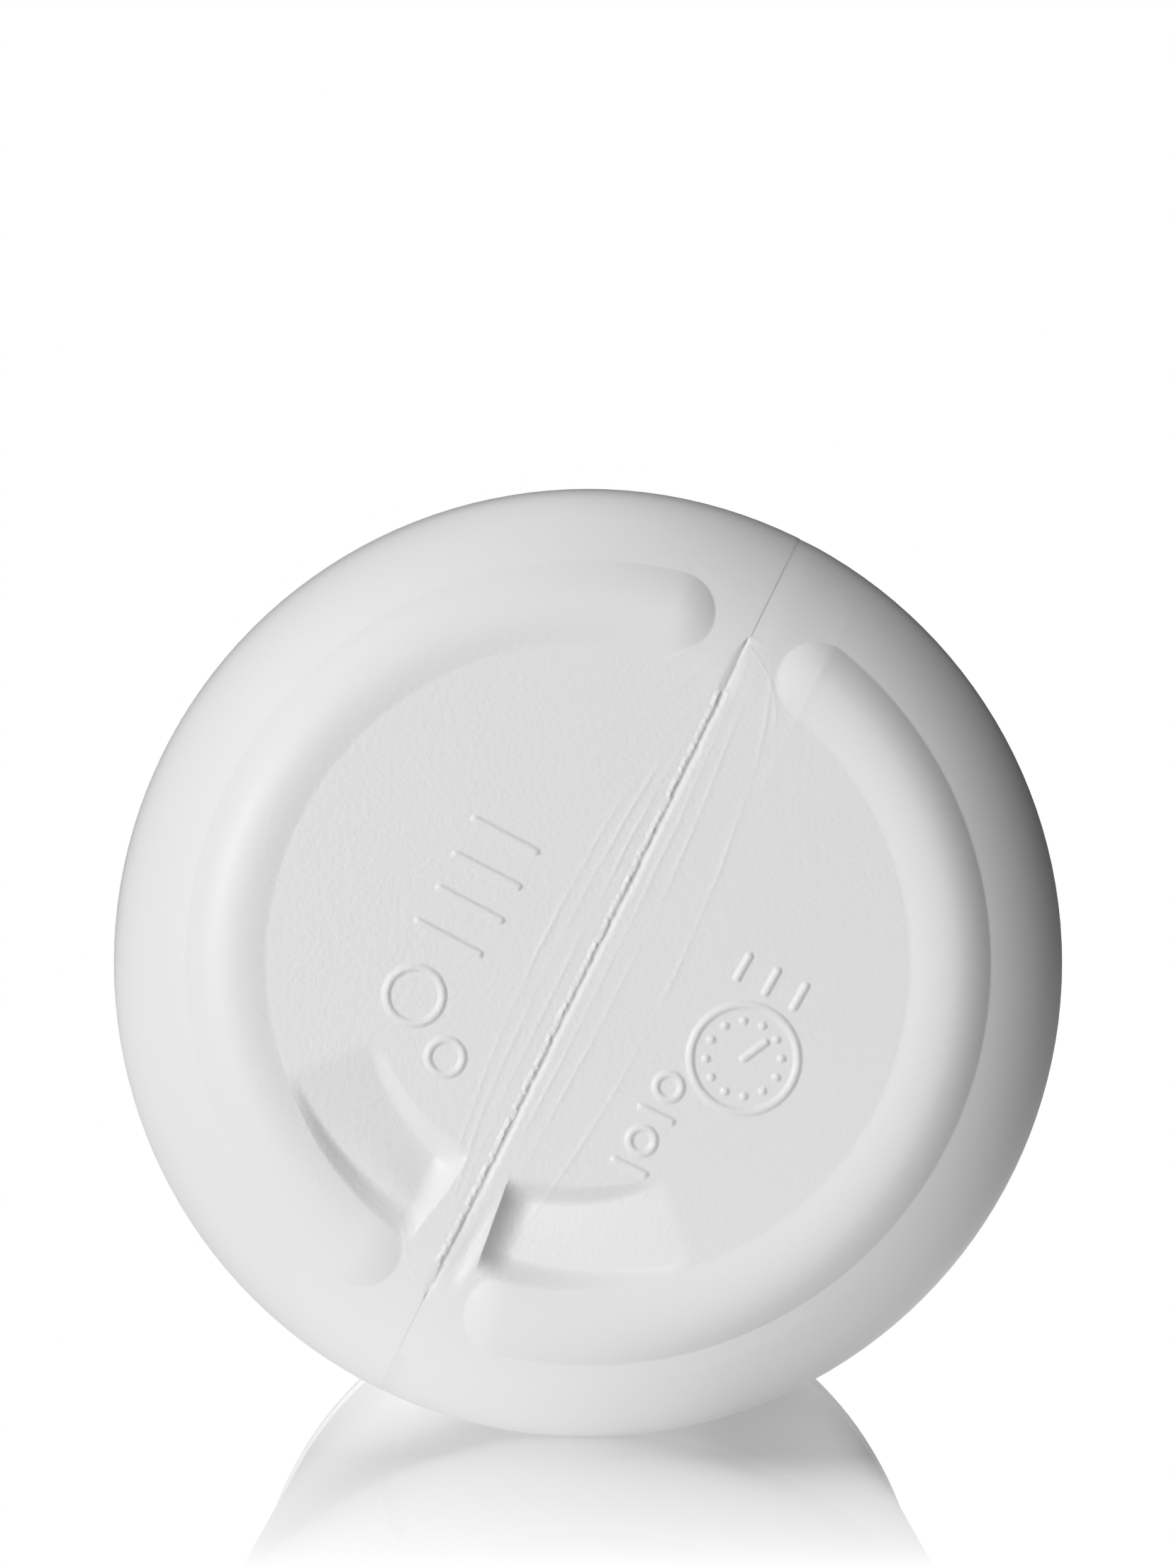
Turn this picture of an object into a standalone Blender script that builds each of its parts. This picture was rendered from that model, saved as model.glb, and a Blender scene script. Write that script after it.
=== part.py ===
"""A plain round bottle of white polyethylene, lying on its side with its base towards -Y.

It is worked out standing on its base, with its axis along Z, and a parent empty lays it down.
Angles on the base are counted as seen from below, anticlockwise from +X.
"""

from math import acos, cos, degrees, pi, radians, sin, sqrt, tau

import bmesh
import bpy
from mathutils import Matrix, Vector

# The whole bottle
LENGTH = 0.172
BODY_RADIUS = 0.0365
SIDE_WALL = 0.0009
BAND_WALL = 0.00135
BASE_WALL = 0.0018
FLAT_DEPTH = 0.0002

# Base panel, heel, label panel and shoulder, with heights above the feet
PANEL_HEIGHT = 0.0001
PANEL_RADIUS = 0.0236
HEEL_HEIGHT = 0.0093
HEEL_BAND = 0.0026
LABEL_RECESS = 0.00045
LABEL_BLEND = 0.0016
SHOULDER_BAND = 0.003
SHOULDER_START = 0.122
SHOULDER_RADIUS = 0.027

# Neck finish for a 28 mm screw cap
NECK_RADIUS = 0.0126
BORE_RADIUS = 0.01085
NECK_FILLET = 0.003
BORE_FILLET = 0.00475
LIP_ROUNDING = 0.00045
COLLAR_HEIGHT = 0.1555
COLLAR_HALF_WIDTH = 0.0011
COLLAR_PROUD = 0.0016
THREAD_RADIUS = 0.0138
THREAD_SECTION = 0.0014
THREAD_PITCH = 0.00423
THREAD_TURNS = 1.5
THREAD_TOP_GAP = 0.0029

# Feet: two low curved beads on the start of the heel, either side of the parting line
FOOT_LIFT = 0.00028
FOOT_CENTRE_RADIUS = 0.02695
FOOT_HALF_WIDTH = 0.0029
FOOT_SKIRT = 1.07
FOOT_ROOT = 0.0007
PARTING_ANGLE = 63.7
FOOT_ENDS = ((-109.5, 57.0), (70.0, 237.5))

# Two sunken ramps beside the parting line
POCKET_RADII = (0.0174, 0.0239)
POCKET_NEAR_END = 5.4
POCKET_FAR_END = 44.0
POCKET_DEPTH = 0.0023
POCKET_DRAFT = 0.3
POCKET_WALL = 0.0012
POCKET_OPEN_DEPTH = 0.0003

# Weld across the base where the tube of plastic was pinched shut
WELD_ENDS = (0.0277, 0.0284)
WELD_SECTION = 0.0004
WELD_SINK = 0.0003

# How finely round things are faceted
TURN_STEPS = 64
HEEL_STEPS = 8
FOOT_STEP = 0.003
FOOT_ACROSS = 6
THREAD_STEPS_PER_TURN = 24

INSIDE_HEIGHT = PANEL_HEIGHT + BASE_WALL
HEEL_CENTRE = (PANEL_RADIUS, PANEL_HEIGHT + HEEL_HEIGHT)
HEEL_RADII = (BODY_RADIUS - PANEL_RADIUS, HEEL_HEIGHT)
LABEL_RADIUS = BODY_RADIUS - LABEL_RECESS
INSIDE_RADIUS = LABEL_RADIUS - SIDE_WALL
SHOULDER_CENTRE = (BODY_RADIUS - SHOULDER_RADIUS, SHOULDER_START)
AXIS_HEIGHT = BODY_RADIUS - FLAT_DEPTH
MERGE = 0.00001


def remove_everything():
    for obj in list(bpy.data.objects):
        bpy.data.objects.remove(obj, do_unlink=True)


def new_collection(name):
    collection = bpy.data.collections.new(name)
    bpy.context.scene.collection.children.link(collection)
    return collection


def base_point(radius, angle, height):
    """A point given by its angle on the base as seen from below."""
    return Vector((radius * cos(radians(angle)), -radius * sin(radians(angle)), height))


def arc(centre, radii, start, end, steps):
    """Points (radius, height) on an ellipse's arc from start to end, in degrees."""
    angles = [radians(start + (end - start) * i / steps) for i in range(steps + 1)]
    return [(centre[0] + radii[0] * cos(a), centre[1] + radii[1] * sin(a)) for a in angles]


def neck_fillet(shoulder_radius, neck_radius, fillet):
    """Centre of the arc that joins the shoulder to the neck, and the angle where they touch."""
    across = neck_radius + fillet - SHOULDER_CENTRE[0]
    reach = shoulder_radius + fillet
    centre = (neck_radius + fillet, SHOULDER_START + sqrt(reach**2 - across**2))
    return centre, degrees(acos(across / reach))


def blend_step(radius_from, radius_to, height_from, height_to, steps):
    """A soft step between two radii, without its first point."""
    points = []
    for i in range(1, steps + 1):
        share = i / steps
        ease = (1 - cos(pi * share)) / 2
        height = height_from + (height_to - height_from) * share
        points.append((radius_from + (radius_to - radius_from) * ease, height))
    return points


def inner_profile():
    """From the middle of the floor inside up to the mouth."""
    inner_shoulder = SHOULDER_RADIUS - BAND_WALL
    heel_radii = (INSIDE_RADIUS - HEEL_CENTRE[0], HEEL_CENTRE[1] - INSIDE_HEIGHT)
    fillet_centre, touch = neck_fillet(inner_shoulder, BORE_RADIUS, BORE_FILLET)
    points = [(0.0, INSIDE_HEIGHT)]
    points += arc(HEEL_CENTRE, heel_radii, -90, 0, 6)
    points += arc(SHOULDER_CENTRE, (inner_shoulder, inner_shoulder), 0, touch, 9)
    points += arc(fillet_centre, (BORE_FILLET, BORE_FILLET), touch - 180, -180, 3)[1:]
    points += [(BORE_RADIUS, LENGTH - LIP_ROUNDING), (BORE_RADIUS + LIP_ROUNDING, LENGTH)]
    return points


def outer_profile():
    """From the mouth down the outside to the middle of the base."""
    fillet_centre, touch = neck_fillet(SHOULDER_RADIUS, NECK_RADIUS, NECK_FILLET)
    label_top = SHOULDER_START - SHOULDER_BAND
    label_foot = HEEL_CENTRE[1] + HEEL_BAND
    points = [(NECK_RADIUS - LIP_ROUNDING, LENGTH), (NECK_RADIUS, LENGTH - LIP_ROUNDING)]
    points += arc((NECK_RADIUS, COLLAR_HEIGHT), (COLLAR_PROUD, COLLAR_HALF_WIDTH), 90, -90, 6)
    points += arc(fillet_centre, (NECK_FILLET, NECK_FILLET), -180, touch - 180, 4)
    points += arc(SHOULDER_CENTRE, (SHOULDER_RADIUS, SHOULDER_RADIUS), touch, 0, 11)[1:]
    points += [(BODY_RADIUS, label_top)]
    points += blend_step(BODY_RADIUS, LABEL_RADIUS, label_top, label_top - LABEL_BLEND, 3)
    points += [(LABEL_RADIUS, label_foot + LABEL_BLEND)]
    points += blend_step(LABEL_RADIUS, BODY_RADIUS, label_foot + LABEL_BLEND, label_foot, 3)
    points += arc(HEEL_CENTRE, HEEL_RADII, 0, -90, HEEL_STEPS)
    points += [(0.0, PANEL_HEIGHT)]
    return points


def turned_body(collection, pose, material):
    """The hollow bottle of revolution, from one closed profile."""
    profile = inner_profile() + outer_profile()
    mesh = bpy.data.meshes.new("bottle")
    edges = [(i, i + 1) for i in range(len(profile) - 1)]
    mesh.from_pydata([(radius, 0, height) for radius, height in profile], edges, [])
    mesh.materials.append(material)
    body = bpy.data.objects.new("bottle", mesh)
    body.parent = pose
    collection.objects.link(body)
    screw = body.modifiers.new("turn", "SCREW")
    screw.axis = "Z"
    screw.angle = tau
    screw.steps = TURN_STEPS
    screw.render_steps = TURN_STEPS
    screw.use_merge_vertices = True
    screw.merge_threshold = MERGE
    screw.use_smooth_shade = True
    return body


def tool_object(name, mesh, collection, pose):
    """An object that a Boolean adds or cuts away."""
    tool = bpy.data.objects.new(name, mesh)
    tool.parent = pose
    tool.hide_render = True
    tool.display_type = "WIRE"
    collection.objects.link(tool)
    return tool


def swept_rod(name, points, sizes, section, collection, pose):
    """A round rod along points, as a closed mesh. sizes scale its section along the way."""
    curve = bpy.data.curves.new(name, "CURVE")
    curve.dimensions = "3D"
    curve.bevel_depth = section
    curve.bevel_resolution = 3
    curve.use_fill_caps = True
    spline = curve.splines.new("POLY")
    spline.points.add(len(points) - 1)
    for spot, point, size in zip(spline.points, points, sizes):
        spot.co = (*point, 1.0)
        spot.radius = size
    rod = bpy.data.objects.new(name + "_curve", curve)
    collection.objects.link(rod)
    bpy.context.view_layer.update()
    depsgraph = bpy.context.evaluated_depsgraph_get()
    mesh = bpy.data.meshes.new_from_object(rod.evaluated_get(depsgraph))
    bpy.data.objects.remove(rod, do_unlink=True)
    solid = bmesh.new()
    solid.from_mesh(mesh)
    bmesh.ops.remove_doubles(solid, verts=solid.verts, dist=MERGE)
    return closed_tool(name, solid, mesh, collection, pose)


def closed_tool(name, solid, mesh, collection, pose):
    """Turns a bmesh's faces outwards, smooths them and makes the tool object."""
    bmesh.ops.recalc_face_normals(solid, faces=solid.faces)
    for face in solid.faces:
        face.smooth = True
    solid.to_mesh(mesh)
    solid.free()
    return tool_object(name, mesh, collection, pose)


def round_end_sizes(distances, total, reach):
    """Sizes that shrink to a half-round end over reach at both ends."""
    sizes = []
    for distance in distances:
        inward = min(distance, total - distance, reach) / reach
        sizes.append(max(sqrt(1 - (1 - inward) ** 2), 0.06))
    return sizes


def stations(total, step, reach):
    """Distances along a bead, closer together where its ends are rounded."""
    taper = [reach * (1 - cos(pi / 2 * i / 5)) for i in range(5)]
    count = max(round((total - 2 * reach) / step), 1)
    middle = [reach + (total - 2 * reach) * i / count for i in range(count + 1)]
    return taper + middle + [total - d for d in reversed(taper)]


def heel_height(radius):
    """Height of the outside of the base at a radius."""
    share = max(radius - PANEL_RADIUS, 0.0) / HEEL_RADII[0]
    return PANEL_HEIGHT + HEEL_HEIGHT * (1 - sqrt(1 - share**2))


def foot(index, ends, collection, pose):
    """One curved foot: a low dome along an arc, with half-round ends, rooted in the base."""
    start, end = ends
    reach = FOOT_HALF_WIDTH * FOOT_SKIRT
    total = radians(end - start) * FOOT_CENTRE_RADIUS
    along = stations(total, FOOT_STEP, reach)
    sections = []
    for distance, size in zip(along, round_end_sizes(along, total, reach)):
        angle = start + degrees(distance / FOOT_CENTRE_RADIUS)
        past_end = max(reach - min(distance, total - distance), 0.0)
        outside = []
        inside = []
        for i in range(FOOT_ACROSS + 1):
            across = reach * size * (2 * i / FOOT_ACROSS - 1)
            radius = FOOT_CENTRE_RADIUS + across
            lift = FOOT_LIFT * (1 - (across**2 + past_end**2) / FOOT_HALF_WIDTH**2)
            outside.append(base_point(radius, angle, heel_height(radius) - lift))
            inside.append(base_point(radius, angle, heel_height(radius) + FOOT_ROOT))
        sections.append(outside + inside[::-1])
    return loft(f"foot_{index}", sections, collection, pose)


def weld_bead(collection, pose):
    """The raised line left where the mould pinched the plastic tube shut."""
    height = PANEL_HEIGHT + WELD_SINK
    first = base_point(WELD_ENDS[0], PARTING_ANGLE, height)
    last = base_point(WELD_ENDS[1], PARTING_ANGLE + 180, height)
    total = (last - first).length
    along = stations(total, total / 8, 4 * WELD_SECTION)
    points = [first.lerp(last, d / total) for d in along]
    sizes = round_end_sizes(along, total, 4 * WELD_SECTION)
    return swept_rod("weld_bead", points, sizes, WELD_SECTION, collection, pose)


def screw_thread(collection, pose):
    """One and a half turns of rounded thread, fading into the neck at both ends."""
    path_radius = THREAD_RADIUS - THREAD_SECTION
    count = round(THREAD_STEPS_PER_TURN * THREAD_TURNS)
    top = LENGTH - THREAD_TOP_GAP
    points = []
    sizes = []
    for i in range(count + 1):
        turn = THREAD_TURNS * i / count
        angle = tau * turn
        height = top - THREAD_PITCH * turn
        points.append(Vector((path_radius * cos(angle), path_radius * sin(angle), height)))
        fade = min(i, count - i) / 5
        sizes.append(max(sin(pi / 2 * min(fade, 1.0)), 0.08))
    return swept_rod("thread", points, sizes, THREAD_SECTION, collection, pose)


def loft(name, sections, collection, pose):
    """A closed solid through sections that have the same number of corners."""
    solid = bmesh.new()
    rings = [[solid.verts.new(corner) for corner in section] for section in sections]
    for ring, following in zip(rings, rings[1:]):
        for i in range(len(ring)):
            j = (i + 1) % len(ring)
            solid.faces.new((ring[i], ring[j], following[j], following[i]))
    solid.faces.new(rings[0])
    solid.faces.new(rings[-1])
    return closed_tool(name, solid, bpy.data.meshes.new(name), collection, pose)


def ramp(name, side, low, rise, grow, collection, pose):
    """A sunken ramp beside the parting line, or the rise over it on the inside.

    low is the height of its lower face, rise is added over the ramp, and grow widens it all round.
    """
    steps = 6
    near = POCKET_NEAR_END - degrees(grow / POCKET_RADII[0])
    far = POCKET_FAR_END + degrees(grow / POCKET_RADII[0])
    middle = PARTING_ANGLE + 180
    sections = []
    for i in range(steps + 1):
        share = i / steps
        depth = POCKET_DEPTH * (1 - share)
        top = PANEL_HEIGHT + depth + rise
        corners = []
        for height in (low, top):
            slope = POCKET_DRAFT * (height - PANEL_HEIGHT - rise)
            slide = degrees(slope / POCKET_RADII[0]) * (1 - share)
            angle = middle + side * (near + (far - near) * share + slide)
            inner = base_point(POCKET_RADII[0] - grow + slope, angle, height)
            outer = base_point(POCKET_RADII[1] + grow - slope, angle, height)
            corners.append((inner, outer))
        (low_inner, low_outer), (top_inner, top_outer) = corners
        sections.append([low_inner, low_outer, top_outer, top_inner])
    return loft(name, sections, collection, pose)


def ground_cutter(collection):
    """A block under the lying bottle that leaves the small flats it rests on."""
    solid = bmesh.new()
    bmesh.ops.create_cube(solid, size=1.0)
    block = Matrix.Diagonal((3 * BODY_RADIUS, 1.5 * LENGTH, BODY_RADIUS, 1))
    below = Matrix.Translation((0, 0, -BODY_RADIUS / 2))
    bmesh.ops.transform(solid, matrix=below @ block, verts=solid.verts)
    mesh = bpy.data.meshes.new("ground")
    solid.to_mesh(mesh)
    solid.free()
    return tool_object("ground", mesh, collection, None)


def combine(body, operation, tools):
    modifier = body.modifiers.new(operation.lower(), "BOOLEAN")
    modifier.operation = operation
    modifier.operand_type = "COLLECTION"
    modifier.collection = tools


def white_plastic():
    material = bpy.data.materials.new("white_polyethylene")
    material.use_nodes = True
    shader = material.node_tree.nodes["Principled BSDF"]
    shader.inputs["Base Color"].default_value = (0.86, 0.86, 0.86, 1)
    shader.inputs["Roughness"].default_value = 0.42
    shader.inputs["Metallic"].default_value = 0.0
    return material


def main():
    remove_everything()
    parts = new_collection("boston_round_bottle")
    added = new_collection("added_shapes")
    cut = new_collection("cutters")

    pose = bpy.data.objects.new("lying_pose", None)
    pose.location = (0, -LENGTH / 2, AXIS_HEIGHT)
    pose.rotation_euler = (-pi / 2, 0, 0)
    parts.objects.link(pose)

    body = turned_body(parts, pose, white_plastic())
    for index, ends in enumerate(FOOT_ENDS):
        foot(index, ends, added, pose)
    weld_bead(added, pose)
    screw_thread(added, pose)
    for side, name in ((1, "right"), (-1, "left")):
        floor_middle = PANEL_HEIGHT + BASE_WALL / 2
        ramp(f"pocket_wall_{name}", side, floor_middle, POCKET_WALL, POCKET_WALL, added, pose)
        ramp(f"pocket_{name}", side, PANEL_HEIGHT - POCKET_OPEN_DEPTH, 0.0, 0.0, cut, pose)
    ground_cutter(cut)
    combine(body, "UNION", added)
    combine(body, "DIFFERENCE", cut)


main()
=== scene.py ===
"""Looks of the round plastic bottle: the fine relief of its base, its finish, the floor, light and camera.

Lengths are in millimetres where no comment says metres. The base is worked out as the camera sees it:
x to the right, y up, angles anticlockwise from x. Its relief is a depth behind the flat panel, so what
stands proud is negative.
"""

from math import acos, atan2, cos, degrees, hypot, pi, radians, sin, sqrt, tau

import bpy
import numpy as np
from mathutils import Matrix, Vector
from mathutils.geometry import delaunay_2d_cdt


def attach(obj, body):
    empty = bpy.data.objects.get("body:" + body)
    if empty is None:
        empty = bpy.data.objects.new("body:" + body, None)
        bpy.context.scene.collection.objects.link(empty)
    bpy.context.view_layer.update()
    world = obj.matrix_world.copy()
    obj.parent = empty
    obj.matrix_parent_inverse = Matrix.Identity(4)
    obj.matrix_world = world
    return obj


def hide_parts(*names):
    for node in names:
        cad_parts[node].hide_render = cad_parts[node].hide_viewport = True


MM = 0.001

# The bottle of revolution, as in the part. Heights are counted from the base along the axis.
LENGTH = 172.0
AXIS_HEIGHT = 36.3
BODY_RADIUS = 36.5
SIDE_WALL = 0.9
BAND_WALL = 1.35
BASE_WALL = 1.8
PANEL_HEIGHT = 0.1
PANEL_RADIUS = 23.6
HEEL_HEIGHT = 9.3
HEEL_BAND = 2.6
LABEL_RECESS = 0.45
LABEL_BLEND = 1.6
SHOULDER_BAND = 3.0
SHOULDER_START = 122.0
SHOULDER_RADIUS = 27.0
NECK_RADIUS = 12.6
BORE_RADIUS = 10.85
NECK_FILLET = 3.0
BORE_FILLET = 4.75
LIP_ROUNDING = 0.45
COLLAR_HEIGHT = 155.5
COLLAR_HALF_WIDTH = 1.1
COLLAR_PROUD = 1.6
THREAD_RADIUS = 13.8
THREAD_SECTION = 1.4
THREAD_PITCH = 4.23
THREAD_TURNS = 1.5
THREAD_TOP_GAP = 2.9
THREAD_FADE = 5

# Uneven waves: how many sines each one is made of, what their sum is divided by, how far the waves reach
# along the parting line, and how many steps the shortest sine is drawn in
RIPPLE_SINES = 8
RIPPLE_DIVISOR = 4
RIPPLE_REACH = 45.0
RIPPLE_STEPS = 12

# Parting line of the mould, which runs along both sides and over the heel, where it starts past the
# weld. The half to its right drops back beside it, and comes out again within its reach.
PARTING_ANGLE = 63.7
PARTING_ASIDE = 0.14
PARTING_STEP = 0.038
PARTING_DROP = (-0.1, 0.05)
PARTING_REACH = 1.6
PARTING_STARTS = (26.9, 27.5)

# Feet: low domes along two arcs, with their crest moved outwards, so that the outer side is the
# steeper one. Each arc is (first angle, last angle) of its middle line.
FOOT_LIFT = 0.455
FOOT_CENTRE_RADIUS = 27.05
FOOT_HALF_WIDTH = 3.05
FOOT_SKEW = 0.243
FOOT_FULLNESS = 1.85
FOOT_SOFTNESS = 0.03
FOOT_ARCS = ((-103.3, 50.8), (76.2, 231.3))

# Sunken ramps to the right (1) and left (-1) of the parting line, deepest at their near end beside it.
# The long walls are widest there: at two angles past the near end, the inner wall's foot, and the width
# of the outer wall about its middle. The floor has only a share of its depth at the outer corner of the
# near end, and the rest comes with the angle past that end and with the distance from that side.
POCKET_INNER_EDGE = 16.5
POCKET_OUTER_MIDDLE = 23.62
POCKET_WALL_PLACES = (4.0, 33.0)
POCKET_INNER_FEET = (18.6, 17.7)
POCKET_OUTER_WIDTHS = (2.3, 1.0)
POCKET_OUTER_SHARES = {1: 0.85, -1: 0.34}
POCKET_OUTER_RADII = (18.5, 23.0)
POCKET_OUTER_REACH = 30.0
POCKET_NEAR_ENDS = {1: 6.0, -1: 5.3}
POCKET_FAR_ENDS = {1: 45.0, -1: 43.3}
POCKET_DEPTH = 1.4
POCKET_NEAR_SLOPE = 1.25
POCKET_HOLLOW = 1.9
POCKET_RIM = 0.035

# Weld where the tube of plastic was pinched shut: its middle line, its section, where it fades in and
# out, and how uneven its middle, its lip and its groove are. Each unevenness is the size of the wave, its
# shortest and longest sine, and the seed of its draw.
WELD_ALONG = (-24.8, -18.6, -6.0, -2.0, 8.6, 21.5, 27.0)
WELD_ASIDE = (0.1, 0.22, 0.15, 0.13, 0.16, 0.04, -0.02)
WELD_ACROSS = (-0.64, -0.54, -0.28, -0.2, -0.12, -0.04, 0.06, 0.14, 0.2, 0.28, 0.42, 0.54)
WELD_HEIGHTS = (0.0, -0.004, 0.034, 0.036, 0.02, -0.018, -0.055, -0.065, -0.06, -0.042, -0.012, 0.0)
WELD_STARTS = (-25.0, -24.7)
WELD_STOPS = (22.3, 22.7)
WELD_WANDER = (0.04, 0.7, 7.0, 1)
WELD_RAGGEDNESS = (1.2, 0.5, 5.0, 2)
WELD_WAVINESS = (0.15, 1.5, 8.0, 4)

# Open folds past both ends of the weld, from their narrow end to their wide one
NOTCH_ENDS = (27.2, 22.2)
NOTCH_DEPTH = 0.11
TAIL_ENDS = (-28.0, -24.7)
TAIL_DEPTH = 0.085
TAIL_ASIDE = (0.13, 0.3)
TAIL_WANDER = (0.04, 0.5, 3.0, 3)

# Section of those folds. Widths and shares are given for the narrow end and the wide one: the left wall,
# the steep part of the right wall, and that part's share of the depth. The rest of the right wall is
# straight. Fades and growth are shares of the fold's length.
OPEN_STARTS = (0.0, 0.12)
OPEN_STOPS = (0.8, 1.1)
OPEN_LEFT_WIDTHS = (0.12, 0.62)
OPEN_LEFT_GROWTH = (0.0, 0.4)
OPEN_LEFT_CURVE = 1.6
OPEN_BOTTOM = 0.1
OPEN_STEEP_WIDTHS = (0.06, 0.3)
OPEN_STEEP_SHARES = (0.35, 0.85)
OPEN_REACH = 1.6

# Sunken strip between the weld's lower end and the right ramp
SINK_ALONG = (-26.5, -25.0, -22.5, -20.0, -18.0)
SINK_DEPTHS = (0.0, 0.16, 0.16, 0.07, 0.0)
SINK_REACH = 0.4
SINK_STOPS = (1.2, 2.3)

# Flow marks to the left (-1) and right (1) of the weld: widest distance from it of each faint line,
# and how far along the weld they reach. The waves of their place and of their strength are each a size,
# a shortest and a longest sine.
STREAK_DISTANCES = {-1: (1.4, 2.6, 3.7), 1: (1.5, 2.9, 6.2)}
STREAK_REACH = {-1: 22.5, 1: 28.0}
STREAK_HEIGHT = 0.02
STREAK_HALF_WIDTH = 0.16
STREAK_WANDER = (0.06, 5.0, 40.0)
STREAK_STRENGTH = 0.7
STREAK_STRONGEST = 1.2
STREAK_CHANGE = (0.5, 9.0, 30.0)
STREAK_SEED = 20

# Faint straight ridge over the heel, the foot and the panel, beside the parting line
RIDGE = ((21.5, 30.0), (13.0, 13.0))
RIDGE_HEIGHT = 0.012
RIDGE_HALF_WIDTH = 0.3

# Faint arcs round the ends of the weld, each through three points. They fade out between two shares of
# their half length.
FOLD_ARCS = (
    ((12.0, 23.5), (13.7, 20.5), (13.8, 17.0)),
    ((11.9, 23.9), (8.5, 23.7), (4.7, 21.1)),
    ((10.3, 23.1), (8.1, 21.7), (5.9, 20.0)),
    ((-13.5, -20.7), (-12.3, -23.9), (-7.6, -23.4)),
)
FOLD_HEIGHT = 0.01
FOLD_HALF_WIDTH = 0.13
FOLD_STOPS = (0.85, 1.1)

# Plain raised marks: bars from end to end, rings with a centre and a radius, and dots round a centre
MARK_HEIGHT = 0.11
MARK_HALF_WIDTH = 0.42
MARK_TOP_HALF_WIDTH = 0.05
MARK_BARS = (
    ((-8.4, 10.7), (-3.9, 8.3)),
    ((-9.8, 8.1), (-5.2, 5.7)),
    ((-11.0, 5.6), (-6.5, 3.2)),
    ((-12.6, 3.1), (-8.1, 0.7)),
    ((12.0, 0.5), (11.1, -1.1)),
    ((14.1, -0.6), (13.2, -2.2)),
    ((16.2, -1.7), (15.3, -3.3)),
    ((11.6, -7.1), (13.2, -5.9)),
    ((4.0, -10.7), (6.2, -11.8)),
    ((2.0, -14.6), (4.2, -15.7)),
)
MARK_RINGS = (
    ((-12.9, -2.4), 2.1),
    ((-10.6, -7.0), 1.3),
    ((11.6, -7.1), 4.0),
    ((6.0, -9.2), 0.95),
    ((4.0, -13.2), 0.95),
)
MARK_DOTS = 12
MARK_DOT_CIRCLE = ((11.6, -7.1), 2.8)

# White plastic, with places and depths in metres. Its roughness varies in a soft mottle. Its grain is
# strongest on the left of the base panel, and fades to a share of that with the distance from the axis.
PLASTIC_COLOUR = (0.86, 0.86, 0.86, 1)
PLASTIC_IOR = 1.5
PLASTIC_ROUGHNESS = (0.36, 0.48)
MOTTLE_SCALE = 90.0
GRAIN_SCALE = 2400.0
GRAIN_DEPTH = 0.00004
GRAIN_PLACES = (-0.02, 0.012)
GRAIN_STRENGTHS = (0.9, 0.6)
GRAIN_RADII = (0.022, 0.027)
GRAIN_ON_BODY = 0.35

# How finely the base is cut up. A net of square cells covers it out to an edge. A cell is divided where
# the slope changes by more than a limit across it. The limits are given from the largest cells down.
BASE_EDGE = 33.0
EDGE_GAP = 0.6
FINE_CELL = 0.05
SPLIT_SLOPES = (0.06, 0.08, 0.12, 0.85)
JOIN_DISTANCE = 0.0001
NORMAL_STEP = 0.01

# How finely the rest is cut up: even columns and those beside the parting line, by their distance from
# it, and rows along the outside from the heel to the lip and along the inside back to the floor
COLUMNS = 152
PARTING_COLUMNS = (-0.1, 0.0, 0.1, 0.2, 0.3, 0.9, 1.8)
OUTER_ROWS = {
    "heel": 14,
    "blend": 6,
    "label": 3,
    "shoulder": 20,
    "fillet": 6,
    "collar": 10,
    "thread": 32,
    "lip": 4,
}
INNER_ROWS = {
    "lip": 3,
    "bore": 3,
    "fillet": 5,
    "shoulder": 10,
    "side": 3,
    "heel": 8,
    "under_ramps": 6,
    "middle": 2,
}

# Floor inside the bottle: radii where the rows under the ramps and in the middle end, the height up to
# which it follows the ramps, and by how much less than their depth
UNDER_RAMPS_RADIUS = 16.0
MIDDLE_RADIUS = 1.0
FLOOR_ZONE = 3.0
FLOOR_SLACK = 0.6

# The camera: its lens and frame in millimetres, its place in metres, and the shift of its frame
LENS = 77.7
FRAME_WIDTH = 36.0
CAMERA_Y = -0.3376
CAMERA_Z = 0.0368
SHIFT_Y = 0.110

# Soft square lights, in metres and watts. Each one stands off the line from the base to the camera by
# its second angle, towards the first one: 0 is right, 90 up and 180 left as the camera sees it.
LIGHT_DISTANCE = 2.4
LIGHT_SIZE = 1.35
LIGHTS = {
    "key": (180, 30, 69.5),
    "upper_left": (135, 60, 15.0),
    "left": (180, 60, 1.4),
    "near_camera": (90, 14, 1.2),
    "top": (90, 90, 5.7),
    "behind_top": (90, 120, 4.8),
    "behind_right": (45, 120, 3.5),
}

# Light that the bottle gets from the floor: strengths from left to right, and factors from the
# front of the picture to the back, to the left of the bottle's contact with the floor and to its right
FLOOR_LIGHT_ACROSS = (
    (-0.14, 0.46),
    (-0.05, 0.55),
    (-0.015, 0.77),
    (0.003, 0.5),
    (0.012, 0.43),
    (0.022, 0.48),
    (0.042, 0.7),
    (0.1, 0.44),
    (0.16, 0.26),
)
FLOOR_LIGHT_LEFT = ((-0.115, 0.33), (-0.08, 0.66), (-0.06, 0.66), (-0.02, 1.0))
FLOOR_LIGHT_RIGHT = ((-0.115, 0.42), (-0.092, 0.72), (-0.079, 0.96), (-0.052, 0.9), (0.0, 0.8))
FLOOR_LIGHT_TURN = (-0.014, 0.008)
FLOOR_LIGHT = 1.5
WORLD_LIGHT = 0.02

# The floor, in metres, where its mirror fades in from the front to the back, and at which slants
FLOOR_HALF_SIZE = 3.0
MIRROR_PLACES = (-0.134, -0.088)
MIRROR_SLANTS = (0.3, 0.82)

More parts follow.
